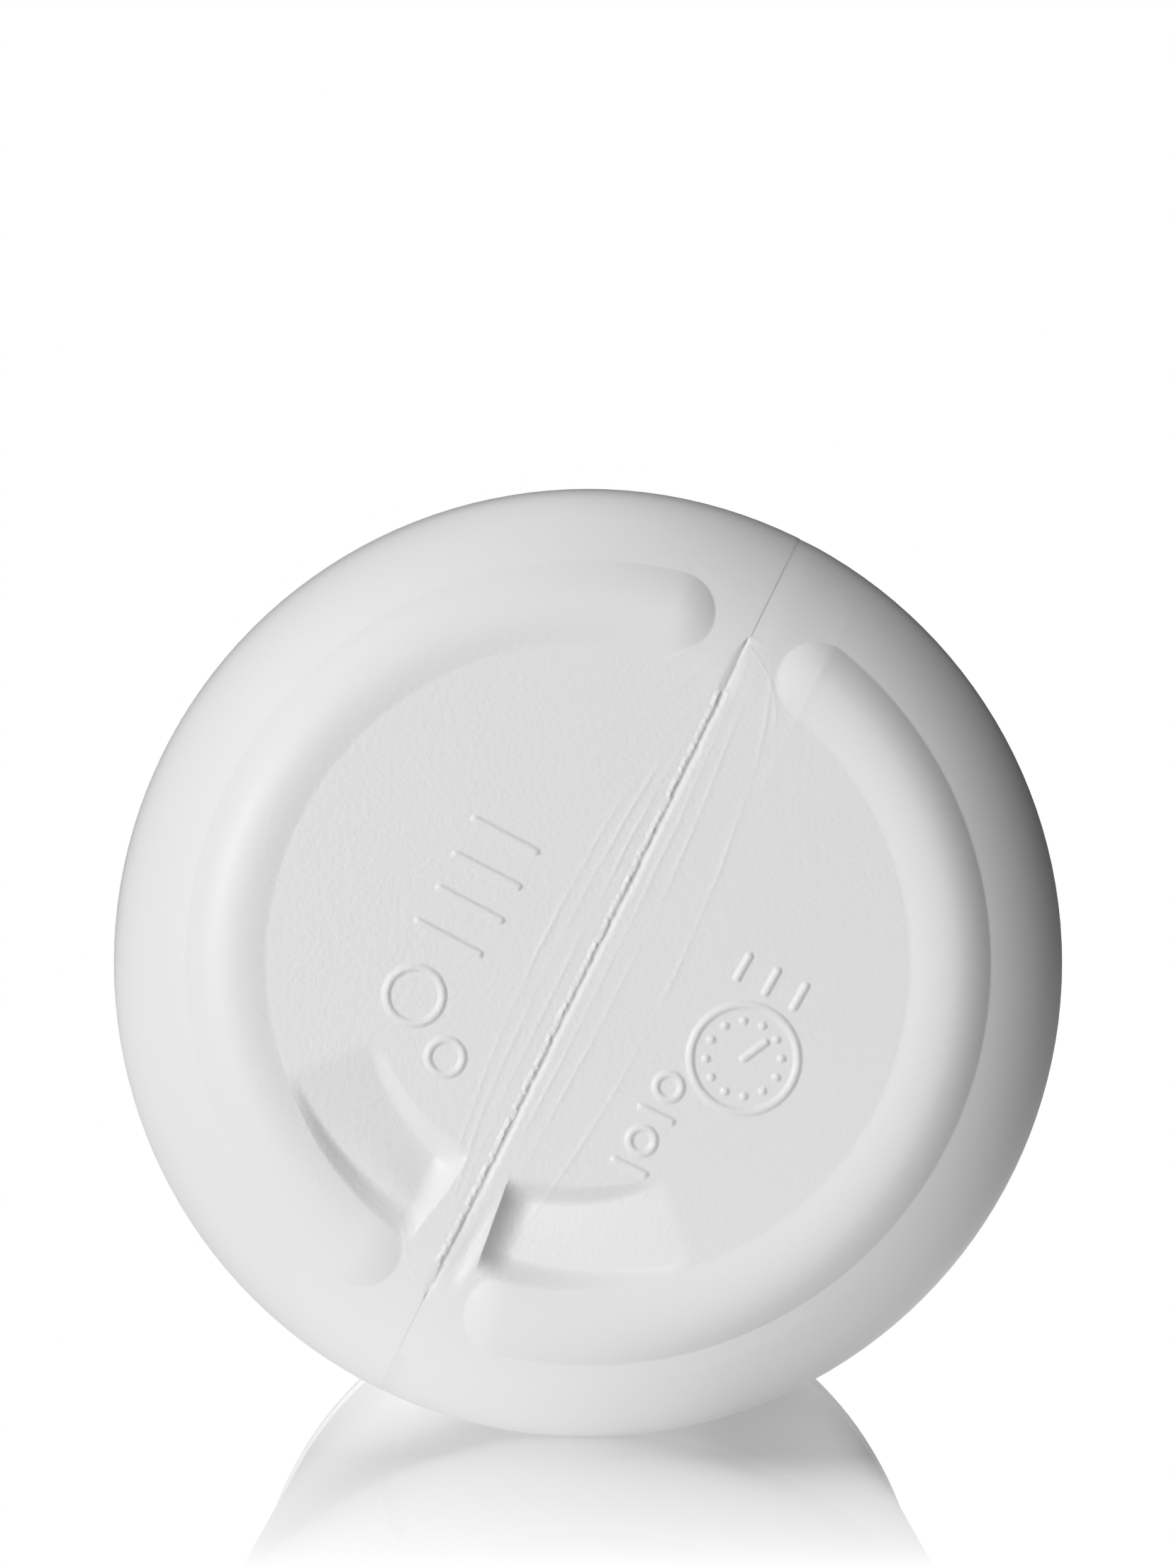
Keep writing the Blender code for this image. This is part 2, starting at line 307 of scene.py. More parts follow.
# Tone curve of the picture, from scene to display
TONES = ((0.17, 0.1), (0.41, 0.3), (0.57, 0.5), (0.706, 0.7), (0.796, 0.785), (0.887, 0.855))


def smoothstep(low, high, value):
    share = np.clip((value - low) / (high - low), 0.0, 1.0)
    return share * share * (3 - 2 * share)


def smooth_min(a, b, softness):
    share = np.clip(0.5 + 0.5 * (b - a) / softness, 0.0, 1.0)
    return b * (1 - share) + a * share - softness * share * (1 - share)


def smooth_positive(value, softness):
    """The value where it is above 0 and else 0, with a soft bend between."""
    return -smooth_min(-value, 0.0, softness)


def between(ends, share):
    """The value at a share of the way from the first end to the second."""
    return ends[0] + (ends[1] - ends[0]) * share


def ripple(along, size, shortest, longest, seed):
    """An uneven wave that stays within about its size."""
    draw = np.random.default_rng(seed)
    places = np.arange(-RIPPLE_REACH, RIPPLE_REACH, shortest / RIPPLE_STEPS)
    heights = np.zeros_like(places)
    for length in np.geomspace(shortest, longest, RIPPLE_SINES):
        heights = heights + np.sin(tau * (places / length + draw.random()))
    return size * np.interp(along, places, heights / RIPPLE_DIVISOR)


def distance_to_segment(x, y, start, end):
    run = (end[0] - start[0], end[1] - start[1])
    share = ((x - start[0]) * run[0] + (y - start[1]) * run[1]) / (run[0] ** 2 + run[1] ** 2)
    share = np.clip(share, 0.0, 1.0)
    return np.hypot(x - start[0] - share * run[0], y - start[1] - share * run[1])


def parting_axes(x, y):
    """Distance along the parting line, and distance to its right.

    The same formula turns those two back into x and y.
    """
    angle = radians(PARTING_ANGLE)
    return x * cos(angle) + y * sin(angle), x * sin(angle) - y * cos(angle)


def heel_depth(x, y):
    share = np.clip((np.hypot(x, y) - PANEL_RADIUS) / (BODY_RADIUS - PANEL_RADIUS), 0.0, 1.0)
    return HEEL_HEIGHT * (1 - np.sqrt(1 - share * share))


def foot_depth(x, y):
    """Both feet, as low domes over the nearest point of their arcs."""
    depth = np.zeros_like(x)
    for first, last in FOOT_ARCS:
        middle = (first + last) / 2
        reach = radians((last - first) / 2)
        turned_x = x * cos(radians(middle)) + y * sin(radians(middle))
        turned_y = y * cos(radians(middle)) - x * sin(radians(middle))
        angle = np.clip(np.arctan2(turned_y, turned_x), -reach, reach)
        off_x = turned_x - FOOT_CENTRE_RADIUS * np.cos(angle)
        off_y = turned_y - FOOT_CENTRE_RADIUS * np.sin(angle)
        outwards = (off_x * np.cos(angle) + off_y * np.sin(angle)) / FOOT_HALF_WIDTH
        onwards = (off_y * np.cos(angle) - off_x * np.sin(angle)) / FOOT_HALF_WIDTH
        inside = 1 - outwards**2 - onwards**2
        share = np.hypot(outwards - FOOT_SKEW * np.maximum(inside, 0.0), onwards)
        depth = depth - smooth_positive(FOOT_LIFT * (1 - share**FOOT_FULLNESS), FOOT_SOFTNESS)
    return depth


def pocket_depth(x, y):
    """Both ramps, deepest beside the parting line and running out to the panel."""
    radius = np.hypot(x, y)
    angle = np.degrees(np.arctan2(y, x)) - PARTING_ANGLE - 180
    angle = (angle + 180) % 360 - 180
    total = np.zeros_like(x)
    for side, near_end in POCKET_NEAR_ENDS.items():
        past_near = side * angle - near_end
        foot = np.interp(past_near, POCKET_WALL_PLACES, POCKET_INNER_FEET)
        half = np.interp(past_near, POCKET_WALL_PLACES, POCKET_OUTER_WIDTHS) / 2
        inner = smoothstep(POCKET_INNER_EDGE, foot, radius)
        outer = 1 - smoothstep(POCKET_OUTER_MIDDLE - half, POCKET_OUTER_MIDDLE + half, radius)
        missing = (1 - POCKET_OUTER_SHARES[side]) * (1 - smoothstep(0.0, POCKET_OUTER_REACH, past_near))
        floor = POCKET_DEPTH * (1 - past_near / (POCKET_FAR_ENDS[side] - near_end))
        floor = floor * (1 - missing * smoothstep(*POCKET_OUTER_RADII, radius))
        near = radius * np.radians(past_near) * POCKET_NEAR_SLOPE
        depth = smooth_positive(smooth_min(floor, near, POCKET_HOLLOW), POCKET_RIM)
        total = np.maximum(total, depth * inner * outer)
    return total


def weld_depth(x, y):
    """The ragged lip and groove of the weld, and the sunken strip beside its lower end."""
    along, aside = parting_axes(x, y)
    middle = np.interp(along, WELD_ALONG, WELD_ASIDE) + ripple(along, *WELD_WANDER)
    across = aside - middle
    heights = np.interp(across, WELD_ACROSS, WELD_HEIGHTS)
    ragged = np.maximum(1 + ripple(along, *WELD_RAGGEDNESS), 0.0)
    wavy = 1 + ripple(along, *WELD_WAVINESS)
    heights = np.where(heights > 0, heights * ragged, heights * wavy)
    window = smoothstep(*WELD_STARTS, along) * (1 - smoothstep(*WELD_STOPS, along))
    past = np.maximum(across, 0.0)
    sink = np.interp(along, SINK_ALONG, SINK_DEPTHS) * (1 - np.exp(-past / SINK_REACH))
    return sink * (1 - smoothstep(*SINK_STOPS, past)) - heights * window


def open_fold(across, share, depth):
    """A valley with a curved left wall and a gentler right one, wider as the share goes up to 1."""
    window = smoothstep(*OPEN_STARTS, share) * (1 - smoothstep(*OPEN_STOPS, share))
    share = np.clip(share, 0.0, 1.0)
    left_width = between(OPEN_LEFT_WIDTHS, smoothstep(*OPEN_LEFT_GROWTH, share))
    left = np.clip(1 + across / left_width, 0.0, 1.0) ** OPEN_LEFT_CURVE
    past = np.maximum(across - OPEN_BOTTOM, 0.0)
    steep = between(OPEN_STEEP_SHARES, share)
    right = steep * np.exp(-past / between(OPEN_STEEP_WIDTHS, share))
    right = right + (1 - steep) * np.clip(1 - past / OPEN_REACH, 0.0, 1.0)
    return depth * window * np.where(across < 0, left, right)


def fold_valleys(x, y):
    """The notch past the weld's upper end and the tail past the other."""
    along, aside = parting_axes(x, y)
    first, last = NOTCH_ENDS
    middle = np.interp(along, WELD_ALONG, WELD_ASIDE)
    depth = open_fold(aside - middle, (along - first) / (last - first), NOTCH_DEPTH)
    first, last = TAIL_ENDS
    middle = np.interp(along, TAIL_ENDS, TAIL_ASIDE) + ripple(along, *TAIL_WANDER)
    return depth + open_fold(aside - middle, (along - first) / (last - first), TAIL_DEPTH)


def streak_depth(x, y):
    """Faint flow lines that bow away from the weld and fade in and out along it, and the straight ridge."""
    along, aside = parting_axes(x, y)
    depth = np.zeros_like(x)
    for side, distances in STREAK_DISTANCES.items():
        bow = np.sqrt(np.clip(1 - (along / STREAK_REACH[side]) ** 2, 0.0, 1.0))
        for index, widest in enumerate(distances):
            seed = 10 * index + side + STREAK_SEED
            off = side * aside - widest * bow - ripple(along, *STREAK_WANDER, seed)
            strength = STREAK_STRENGTH + ripple(along, *STREAK_CHANGE, seed + 5)
            strength = np.clip(strength, 0.0, STREAK_STRONGEST) * bow
            depth = depth - STREAK_HEIGHT * strength * np.exp(-((off / STREAK_HALF_WIDTH) ** 2))
    off = distance_to_segment(x, y, *RIDGE)
    return depth - RIDGE_HEIGHT * np.exp(-((off / RIDGE_HALF_WIDTH) ** 2))


def circle_through(first, second, third):
    """Centre and radius of the circle through three points."""
    chords = np.array([second, third]) - np.array(first)
    squares = np.array([second[0] ** 2 + second[1] ** 2, third[0] ** 2 + third[1] ** 2])
    squares = (squares - first[0] ** 2 - first[1] ** 2) / 2
    centre = np.linalg.solve(chords, squares)
    return centre, hypot(first[0] - centre[0], first[1] - centre[1])


def fold_depth(x, y):
    """Thin arcs left round the ends of the weld."""
    depth = np.zeros_like(x)
    for first, second, third in FOLD_ARCS:
        centre, radius = circle_through(first, second, third)
        towards = atan2(second[1] - centre[1], second[0] - centre[0])
        reach = abs(atan2(first[1] - centre[1], first[0] - centre[0]) - towards)
        reach = min(reach, tau - reach)
        angle = np.arctan2(y - centre[1], x - centre[0]) - towards
        angle = np.abs((angle + pi) % tau - pi)
        off = np.hypot(x - centre[0], y - centre[1]) - radius
        fade = 1 - smoothstep(FOLD_STOPS[0] * reach, FOLD_STOPS[1] * reach, angle)
        depth = depth - FOLD_HEIGHT * fade * np.exp(-((off / FOLD_HALF_WIDTH) ** 2))
    return depth


def mark_depth(x, y):
    """Raised bars, rings and dots with rounded edges."""
    distance = np.full_like(x, np.inf)
    for start, end in MARK_BARS:
        distance = np.minimum(distance, distance_to_segment(x, y, start, end))
    for centre, radius in MARK_RINGS:
        distance = np.minimum(distance, np.abs(np.hypot(x - centre[0], y - centre[1]) - radius))
    centre, radius = MARK_DOT_CIRCLE
    for i in range(MARK_DOTS):
        turn = tau * i / MARK_DOTS
        spot = (centre[0] + radius * cos(turn), centre[1] + radius * sin(turn))
        distance = np.minimum(distance, np.hypot(x - spot[0], y - spot[1]))
    return -MARK_HEIGHT * (1 - smoothstep(MARK_TOP_HALF_WIDTH, MARK_HALF_WIDTH, distance))


def parting_step(past):
    """How far the right half of the bottle steps back, by the distance to the right of the line."""
    return PARTING_STEP * smoothstep(*PARTING_DROP, past) * np.clip(1 - past / PARTING_REACH, 0.0, 1.0)


def parting_depth(x, y):
    """The parting line where it runs over the heel, past the ends of the weld."""
    along, aside = parting_axes(x, y)
    past_weld = smoothstep(*PARTING_STARTS, np.abs(along))
    return past_weld * parting_step(aside - PARTING_ASIDE)


def relief(x, y):
    """Everything on the base except the heel's own curve."""
    depth = foot_depth(x, y) + pocket_depth(x, y) + weld_depth(x, y) + fold_valleys(x, y)
    return depth + streak_depth(x, y) + fold_depth(x, y) + mark_depth(x, y) + parting_depth(x, y)


def base_depth(x, y):
    return heel_depth(x, y) + relief(x, y)


def block_max(values):
    """The largest of each two by two values."""
    return np.maximum.reduce([values[::2, ::2], values[1::2, ::2], values[::2, 1::2], values[1::2, 1::2]])


def relief_points():
    """Corners of square cells, small where the relief bends and large where it is smooth.

    The cells lie along the parting line, so that the weld's edges run with them. The bend is how much
    the slope changes in a millimetre.
    """
    levels = len(SPLIT_SLOPES)
    coarse = 2**levels
    count = int(2 * BASE_EDGE / FINE_CELL / coarse) * coarse
    steps = (np.arange(count) - count / 2 + 0.5) * FINE_CELL
    along, aside = np.meshgrid(steps, steps, indexing="ij")
    depth = relief(*parting_axes(along, aside))
    bend = np.zeros_like(depth)
    bend[1:-1, :] = np.abs(depth[2:, :] + depth[:-2, :] - 2 * depth[1:-1, :]) / FINE_CELL**2
    bend[:, 1:-1] += np.abs(depth[:, 2:] + depth[:, :-2] - 2 * depth[:, 1:-1]) / FINE_CELL**2

    bends = [bend]
    for _ in range(levels):
        bends.append(block_max(bends[-1]))
    corners = set()
    cells = np.argwhere(bends[-1] >= 0)
    for level in range(levels, -1, -1):
        size = 2**level
        limit = SPLIT_SLOPES[levels - level] / (size * FINE_CELL) if level else np.inf
        split = bends[level][cells[:, 0], cells[:, 1]] > limit
        kept = cells[~split] * size
        for row, column in ((0, 0), (size, 0), (0, size), (size, size)):
            corners.update(map(tuple, (kept + (row, column)).tolist()))
        divided = cells[split] * 2
        cells = np.concatenate([divided + (row, column) for row in (0, 1) for column in (0, 1)])
    spots = (np.array(sorted(corners)) - count / 2) * FINE_CELL
    spots = spots[np.hypot(spots[:, 0], spots[:, 1]) < BASE_EDGE - EDGE_GAP]
    return parting_axes(spots[:, 0], spots[:, 1])


def column_angles():
    """Angles of the lengthwise columns, with extra ones on both sides of the parting line."""
    angles = list(np.arange(COLUMNS) * 360 / COLUMNS)
    for line in (PARTING_ANGLE, PARTING_ANGLE + 180):
        for off in PARTING_COLUMNS:
            angles.append(line - degrees(off / BODY_RADIUS))
    return np.radians(np.array(sorted(angles)))


def arc(centre, radii, start, end, steps):
    """Points (radius, height) on an ellipse's arc, without its first point."""
    angles = [radians(start + (end - start) * i / steps) for i in range(1, steps + 1)]
    return [(centre[0] + radii[0] * cos(a), centre[1] + radii[1] * sin(a)) for a in angles]


def straight(start, end, steps):
    """Points (radius, height) from start to end, without the first one."""
    shares = [i / steps for i in range(1, steps + 1)]
    return [(start[0] + (end[0] - start[0]) * s, start[1] + (end[1] - start[1]) * s) for s in shares]


def blend_step(start, end, steps):
    """A soft step between two radii, without its first point."""
    points = []
    for i in range(1, steps + 1):
        ease = (1 - cos(pi * i / steps)) / 2
        points.append((start[0] + (end[0] - start[0]) * ease, start[1] + (end[1] - start[1]) * i / steps))
    return points


def neck_fillet(shoulder_radius, neck_radius, fillet):
    """Centre of the arc that joins the shoulder to the neck, and the angle where they touch."""
    across = neck_radius + fillet - (BODY_RADIUS - SHOULDER_RADIUS)
    reach = shoulder_radius + fillet
    centre = (neck_radius + fillet, SHOULDER_START + sqrt(reach**2 - across**2))
    return centre, degrees(acos(across / reach))


def outer_rows():
    """Outside of the bottle from the edge of the base to the mouth."""
    heel_centre = (PANEL_RADIUS, PANEL_HEIGHT + HEEL_HEIGHT)
    heel_radii = (BODY_RADIUS - PANEL_RADIUS, HEEL_HEIGHT)
    edge = degrees(acos((BASE_EDGE - PANEL_RADIUS) / heel_radii[0]))
    shoulder_centre = (BODY_RADIUS - SHOULDER_RADIUS, SHOULDER_START)
    fillet_centre, touch = neck_fillet(SHOULDER_RADIUS, NECK_RADIUS, NECK_FILLET)
    band_top = heel_centre[1] + HEEL_BAND
    label = (BODY_RADIUS - LABEL_RECESS, band_top + LABEL_BLEND)
    label_top = SHOULDER_START - SHOULDER_BAND
    collar = (NECK_RADIUS, COLLAR_HEIGHT)
    collar_radii = (COLLAR_PROUD, COLLAR_HALF_WIDTH)
    lip = (NECK_RADIUS - LIP_ROUNDING, LENGTH - LIP_ROUNDING)
    steps = OUTER_ROWS
    rows = arc(heel_centre, heel_radii, -edge, 0, steps["heel"])
    rows += [(BODY_RADIUS, band_top)]
    rows += blend_step(rows[-1], label, steps["blend"])
    rows += straight(label, (label[0], label_top - LABEL_BLEND), steps["label"])
    rows += blend_step(rows[-1], (BODY_RADIUS, label_top), steps["blend"])
    rows += [(BODY_RADIUS, SHOULDER_START)]
    rows += arc(shoulder_centre, (SHOULDER_RADIUS, SHOULDER_RADIUS), 0, touch, steps["shoulder"])
    rows += arc(fillet_centre, (NECK_FILLET, NECK_FILLET), touch - 180, -180, steps["fillet"])
    rows += [(NECK_RADIUS, COLLAR_HEIGHT - COLLAR_HALF_WIDTH)]
    rows += arc(collar, collar_radii, -90, 90, steps["collar"])
    rows += straight(rows[-1], (NECK_RADIUS, LENGTH - LIP_ROUNDING), steps["thread"])
    rows += arc(lip, (LIP_ROUNDING, LIP_ROUNDING), 0, 90, steps["lip"])
    return rows


def inner_rows():
    """Inside of the bottle from the mouth to the middle of its floor."""
    inner_shoulder = SHOULDER_RADIUS - BAND_WALL
    inside_radius = BODY_RADIUS - LABEL_RECESS - SIDE_WALL
    floor = PANEL_HEIGHT + BASE_WALL
    shoulder_centre = (BODY_RADIUS - SHOULDER_RADIUS, SHOULDER_START)
    heel_centre = (PANEL_RADIUS, PANEL_HEIGHT + HEEL_HEIGHT)
    heel_radii = (inside_radius - PANEL_RADIUS, heel_centre[1] - floor)
    fillet_centre, touch = neck_fillet(inner_shoulder, BORE_RADIUS, BORE_FILLET)
    lip = (BORE_RADIUS + LIP_ROUNDING, LENGTH - LIP_ROUNDING)
    steps = INNER_ROWS
    rows = [(lip[0], LENGTH)]
    rows += arc(lip, (LIP_ROUNDING, LIP_ROUNDING), 90, 180, steps["lip"])
    rows += straight(rows[-1], (BORE_RADIUS, fillet_centre[1]), steps["bore"])
    rows += arc(fillet_centre, (BORE_FILLET, BORE_FILLET), -180, touch - 180, steps["fillet"])
    rows += arc(shoulder_centre, (inner_shoulder, inner_shoulder), touch, 0, steps["shoulder"])
    rows += straight((inside_radius, SHOULDER_START), (inside_radius, heel_centre[1]), steps["side"])
    rows += arc(heel_centre, heel_radii, 0, -90, steps["heel"])
    rows += straight(rows[-1], (UNDER_RAMPS_RADIUS, floor), steps["under_ramps"])
    rows += straight(rows[-1], (MIDDLE_RADIUS, floor), steps["middle"])
    return rows


def body_step(angles):
    """How far one half of the body steps back at each column, as at the parting line of the base."""
    aside = BODY_RADIUS * np.sin(radians(PARTING_ANGLE) - angles)
    return parting_step(aside - PARTING_ASIDE)


def thread_radius(angles, height):
    """Radius of the screw thread at each column, or 0 where there is none.

    The thread grows from both ends to its full section within one turn over THREAD_FADE.
    """
    turns = (-angles / tau) % 1.0
    radius = np.zeros_like(angles)
    for lap in range(2):
        turn = turns + lap
        off = height - (LENGTH - THREAD_TOP_GAP - THREAD_PITCH * turn)
        fade = np.clip(np.minimum(turn, THREAD_TURNS - turn) * THREAD_FADE, 0.0, 1.0)
        section = THREAD_SECTION * np.sin(pi / 2 * fade)
        bulge = np.sqrt(np.clip(section**2 - off**2, 0.0, None))
        radius = np.maximum(radius, np.where(bulge > 0, THREAD_RADIUS - THREAD_SECTION + bulge, 0.0))
    return radius


def ring_points(radius, height, angles, outside):
    """One ring of the body in the frame of the part, cut off flat where the bottle lies."""
    radii = np.full_like(angles, radius)
    heights = np.full_like(angles, height)
    if outside and height > COLLAR_HEIGHT + COLLAR_HALF_WIDTH and radius >= NECK_RADIUS:
        radii = np.maximum(radii, thread_radius(angles, height))
    if outside and height < SHOULDER_START:
        radii = radii - body_step(angles)
    if not outside and height < FLOOR_ZONE:
        x = radius * np.cos(angles)
        y = radius * np.sin(angles)
        heights = heights + np.maximum(pocket_depth(x, y) - FLOOR_SLACK, 0.0)
    across = radii * np.cos(angles)
    up = AXIS_HEIGHT + radii * np.sin(angles)
    return np.stack([across, heights - LENGTH / 2, np.maximum(up, 0.0)], axis=1)


def base_points(x, y):
    depth = base_depth(x, y)
    return np.stack([x, PANEL_HEIGHT + depth - LENGTH / 2, AXIS_HEIGHT + y], axis=1)


def base_normals(x, y):
    """Normals worked out from the relief itself, so that shading shows it exactly."""
    step = NORMAL_STEP
    slope_x = (base_depth(x + step, y) - base_depth(x - step, y)) / (2 * step)
    slope_y = (base_depth(x, y + step) - base_depth(x, y - step)) / (2 * step)
    normals = np.stack([slope_x, np.full_like(x, -1.0), slope_y], axis=1)
    return normals / np.linalg.norm(normals, axis=1, keepdims=True)


def ring_faces(start, following, columns):
    """Faces between two rings of points, given by their first ones."""
    faces = []
    for i in range(columns):
        j = (i + 1) % columns
        faces.append((start + i, following + i, following + j, start + j))
    return faces


def bottle_mesh():
    """One closed mesh: the base with its relief, the outside, the mouth and the inside."""
    angles = column_angles()
    columns = len(angles)
    inner_x, inner_y = relief_points()
    x = np.concatenate([BASE_EDGE * np.cos(angles), inner_x])
    y = np.concatenate([BASE_EDGE * np.sin(angles), inner_y])
    outcome = delaunay_2d_cdt([Vector(p) for p in zip(x, y)], [], [], 0, JOIN_DISTANCE)
    faces = [tuple(face) for face in outcome[2]]
    points = [base_points(x, y)]
    for rows, outside in ((outer_rows(), True), (inner_rows(), False)):
        points += [ring_points(radius, height, angles, outside) for radius, height in rows]

    start = 0
    for ring in range(len(points) - 1):
        following = len(x) + ring * columns
        faces += ring_faces(start, following, columns)
        start = following
    middle = start + columns
    faces += [(start + i, middle, start + (i + 1) % columns) for i in range(columns)]
    floor = PANEL_HEIGHT + BASE_WALL - LENGTH / 2
    vertices = np.concatenate(points + [np.array([[0.0, floor, AXIS_HEIGHT]])]) * MM

    mesh = bpy.data.meshes.new("bottle_shell")
    mesh.from_pydata(vertices.tolist(), [], faces)
    mesh.polygons.foreach_set("use_smooth", np.ones(len(faces), bool))
    normals = np.zeros((len(vertices), 3))
    normals[: len(x)] = base_normals(x, y)
    mesh.normals_split_custom_set_from_vertices(normals.tolist())
    return mesh


def node(tree, kind, **values):
    """A new node with some of its properties and inputs set."""
    made = tree.nodes.new(kind)
    for name, value in values.items():
        if name in made.inputs:
            made.inputs[name].default_value = value
        else:
            setattr(made, name, value)
    return made


def map_range(tree, value, source, target):
    """Output of a node that maps one range of a value to another."""
    mapped = node(tree, "ShaderNodeMapRange")
    mapped.inputs["From Min"].default_value = source[0]
    mapped.inputs["From Max"].default_value = source[1]
    mapped.inputs["To Min"].default_value = target[0]
    mapped.inputs["To Max"].default_value = target[1]
    tree.links.new(value, mapped.inputs["Value"])
    return mapped.outputs["Result"]


def graded(tree, value, stops):
    """Output of a node that runs through the given (value, result) stops."""
    first, last = stops[0][0], stops[-1][0]
    share = map_range(tree, value, (first, last), (0.0, 1.0))
    ramp = node(tree, "ShaderNodeValToRGB")
    elements = ramp.color_ramp.elements
    while len(elements) < len(stops):
        elements.new(0.5)
    for element, (place, result) in zip(elements, stops):
        element.position = (place - first) / (last - first)
        element.color = (result, result, result, 1)
    tree.links.new(share, ramp.inputs["Fac"])
    return ramp.outputs["Color"]


def combined(tree, operation, first, second):
    """Output of a node that joins two values into one, such as their sum."""
    joint = node(tree, "ShaderNodeMath", operation=operation)
    tree.links.new(first, joint.inputs[0])
    tree.links.new(second, joint.inputs[1])
    return joint.outputs[0]


def white_polyethylene():
    """Satin white plastic with the fine grain of a sandblasted mould."""
    material = bpy.data.materials.new("white_polyethylene")
    material.use_nodes = True
    tree = material.node_tree
    shader = tree.nodes["Principled BSDF"]
    shader.inputs["Base Color"].default_value = PLASTIC_COLOUR
    shader.inputs["IOR"].default_value = PLASTIC_IOR
    place = node(tree, "ShaderNodeTexCoord")

    grain = node(tree, "ShaderNodeTexNoise", Scale=GRAIN_SCALE, Detail=2.0, Roughness=0.5)
    tree.links.new(place.outputs["Object"], grain.inputs["Vector"])
    split = node(tree, "ShaderNodeSeparateXYZ")
    tree.links.new(place.outputs["Object"], split.inputs["Vector"])
    strength = map_range(tree, split.outputs["X"], GRAIN_PLACES, GRAIN_STRENGTHS)
    from_axis = node(tree, "ShaderNodeVectorMath", operation="MULTIPLY_ADD")
    from_axis.inputs[1].default_value = (1, 0, 1)
    from_axis.inputs[2].default_value = (0, 0, -AXIS_HEIGHT * MM)
    tree.links.new(place.outputs["Object"], from_axis.inputs[0])
    radius = node(tree, "ShaderNodeVectorMath", operation="LENGTH")
    tree.links.new(from_axis.outputs["Vector"], radius.inputs[0])
    share = map_range(tree, radius.outputs["Value"], GRAIN_RADII, (1.0, GRAIN_ON_BODY))
    bump = node(tree, "ShaderNodeBump", Distance=GRAIN_DEPTH)
    tree.links.new(combined(tree, "MULTIPLY", strength, share), bump.inputs["Strength"])
    tree.links.new(grain.outputs["Fac"], bump.inputs["Height"])
    tree.links.new(bump.outputs["Normal"], shader.inputs["Normal"])

    mottle = node(tree, "ShaderNodeTexNoise", Scale=MOTTLE_SCALE, Detail=3.0)
    tree.links.new(place.outputs["Object"], mottle.inputs["Vector"])
    roughness = map_range(tree, mottle.outputs["Fac"], (0.0, 1.0), PLASTIC_ROUGHNESS)
    tree.links.new(roughness, shader.inputs["Roughness"])
    return material


def seen_straight(tree):
    """1 for rays straight from the camera or off a perfect mirror, 0 for all others."""
    path = node(tree, "ShaderNodeLightPath")
    return combined(tree, "MAXIMUM", path.outputs["Is Camera Ray"], path.outputs["Is Singular Ray"])


def floor_light(tree, split):
    """Strength of the light that the bottle gets from each place of the floor."""
    across = graded(tree, split.outputs["X"], FLOOR_LIGHT_ACROSS)
    rightness = map_range(tree, split.outputs["X"], FLOOR_LIGHT_TURN, (0.0, 1.0))
    leftness = map_range(tree, rightness, (0.0, 1.0), (1.0, 0.0))
    on_left = combined(tree, "MULTIPLY", graded(tree, split.outputs["Y"], FLOOR_LIGHT_LEFT), leftness)
    on_right = combined(tree, "MULTIPLY", graded(tree, split.outputs["Y"], FLOOR_LIGHT_RIGHT), rightness)
    backwards = combined(tree, "ADD", on_left, on_right)
    scaled = node(tree, "ShaderNodeMath", operation="MULTIPLY")
    tree.links.new(combined(tree, "MULTIPLY", across, backwards), scaled.inputs[0])
    scaled.inputs[1].default_value = FLOOR_LIGHT
    return scaled.outputs[0]


def floor_material():
    """Floor that is white to the camera and mirrors the bottle close to it, more so at a low angle."""
    material = bpy.data.materials.new("white_floor")
    material.use_nodes = True
    tree = material.node_tree
    tree.nodes.clear()
    output = node(tree, "ShaderNodeOutputMaterial")
    white = node(tree, "ShaderNodeEmission", Strength=1.0)
    dull = node(tree, "ShaderNodeEmission")
    mirror = node(tree, "ShaderNodeBsdfAnisotropic", Roughness=0.0, Color=(1, 1, 1, 1))
    mirror.distribution = "GGX"
    path = node(tree, "ShaderNodeLightPath")
    plain = node(tree, "ShaderNodeMixShader")
    tree.links.new(path.outputs["Is Camera Ray"], plain.inputs["Fac"])
    tree.links.new(dull.outputs[0], plain.inputs[1])
    tree.links.new(white.outputs[0], plain.inputs[2])

    place = node(tree, "ShaderNodeNewGeometry")
    split = node(tree, "ShaderNodeSeparateXYZ")
    tree.links.new(place.outputs["Position"], split.inputs["Vector"])
    tree.links.new(floor_light(tree, split), dull.inputs["Strength"])

    nearness = map_range(tree, split.outputs["Y"], MIRROR_PLACES, (0.0, 1.0))
    grazing = node(tree, "ShaderNodeLayerWeight", Blend=0.5)
    low = map_range(tree, grazing.outputs["Facing"], MIRROR_SLANTS, (0.0, 1.0))
    mirrored = combined(tree, "MULTIPLY", nearness, low)
    mirrored = combined(tree, "MULTIPLY", mirrored, path.outputs["Is Camera Ray"])
    mixed = node(tree, "ShaderNodeMixShader")
    tree.links.new(mirrored, mixed.inputs["Fac"])
    tree.links.new(plain.outputs[0], mixed.inputs[1])
    tree.links.new(mirror.outputs[0], mixed.inputs[2])
    tree.links.new(mixed.outputs[0], output.inputs["Surface"])
    return material


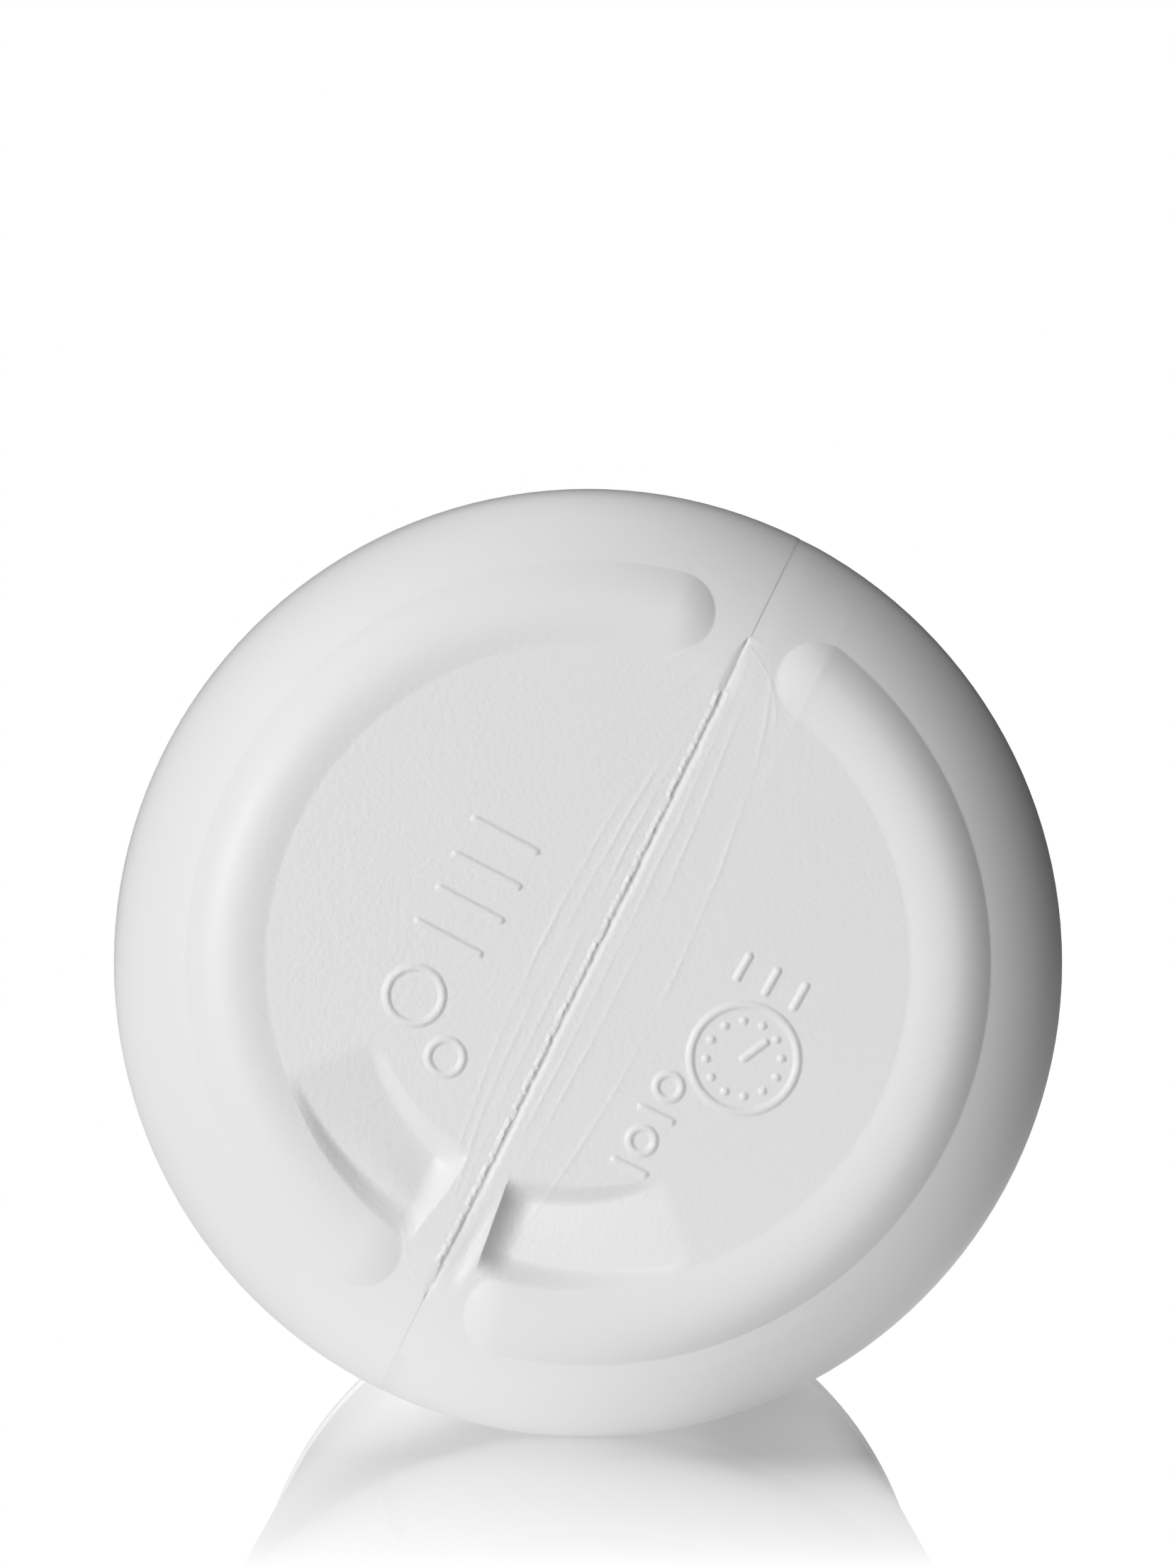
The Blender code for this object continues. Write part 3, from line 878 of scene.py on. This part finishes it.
def studio_world():
    """White to the eye, and a dim room to the bottle."""
    world = bpy.data.worlds.new("studio")
    bpy.context.scene.world = world
    world.use_nodes = True
    tree = world.node_tree
    tree.nodes.clear()
    output = node(tree, "ShaderNodeOutputWorld")
    white = node(tree, "ShaderNodeBackground", Strength=1.0)
    dim = node(tree, "ShaderNodeBackground", Strength=WORLD_LIGHT)
    for background in (white, dim):
        background.inputs["Color"].default_value = (1, 1, 1, 1)
    mixed = node(tree, "ShaderNodeMixShader")
    tree.links.new(seen_straight(tree), mixed.inputs["Fac"])
    tree.links.new(dim.outputs[0], mixed.inputs[1])
    tree.links.new(white.outputs[0], mixed.inputs[2])
    tree.links.new(mixed.outputs[0], output.inputs["Surface"])


def softbox(name, turn, off, power):
    """A square light that faces the base of the bottle."""
    data = bpy.data.lights.new(name, "AREA")
    data.shape = "SQUARE"
    data.size = LIGHT_SIZE
    data.energy = power
    light = bpy.data.objects.new(name, data)
    aside = sin(radians(off))
    from_base = Vector((aside * cos(radians(turn)), -cos(radians(off)), aside * sin(radians(turn))))
    light.location = Vector((0.0, -LENGTH / 2 * MM, AXIS_HEIGHT * MM)) + from_base * LIGHT_DISTANCE
    light.rotation_euler = from_base.to_track_quat("Z", "Y").to_euler()
    bpy.context.scene.collection.objects.link(light)


def tone_curve():
    """Deepens the darker tones a little, as the photograph does."""
    settings = bpy.context.scene.view_settings
    settings.view_transform = "Standard"
    settings.use_curve_mapping = True
    all_colours = settings.curve_mapping.curves[3]
    for scene_tone, shown_tone in TONES:
        all_colours.points.new(scene_tone, shown_tone)
    settings.curve_mapping.update()


def photo_camera():
    data = bpy.data.cameras.new("photo_camera")
    data.lens = LENS
    data.sensor_width = FRAME_WIDTH
    data.shift_y = SHIFT_Y
    camera = bpy.data.objects.new("photo_camera", data)
    camera.location = (0.0, CAMERA_Y, CAMERA_Z)
    camera.rotation_euler = (pi / 2, 0.0, 0.0)
    bpy.context.scene.collection.objects.link(camera)
    bpy.context.scene.camera = camera


def make_floor():
    mesh = bpy.data.meshes.new("floor")
    side = FLOOR_HALF_SIZE
    corners = [(-side, -side, 0), (side, -side, 0), (side, side, 0), (-side, side, 0)]
    mesh.from_pydata(corners, [], [(0, 1, 2, 3)])
    mesh.materials.append(floor_material())
    floor = bpy.data.objects.new("floor", mesh)
    bpy.context.scene.collection.objects.link(floor)


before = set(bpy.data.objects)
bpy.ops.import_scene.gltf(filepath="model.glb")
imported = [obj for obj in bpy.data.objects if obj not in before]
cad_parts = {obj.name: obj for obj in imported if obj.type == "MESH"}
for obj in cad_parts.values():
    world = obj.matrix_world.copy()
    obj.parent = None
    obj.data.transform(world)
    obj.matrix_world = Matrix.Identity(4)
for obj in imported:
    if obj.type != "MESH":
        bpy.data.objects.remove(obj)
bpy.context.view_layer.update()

shell = bpy.data.objects.new("bottle_shell", bottle_mesh())
shell.data.materials.append(white_polyethylene())
bpy.context.scene.collection.objects.link(shell)
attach(shell, "root")
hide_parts("bottle")

make_floor()
studio_world()
for light_name, (light_turn, light_off, light_power) in LIGHTS.items():
    softbox(light_name, light_turn, light_off, light_power)
photo_camera()
tone_curve()
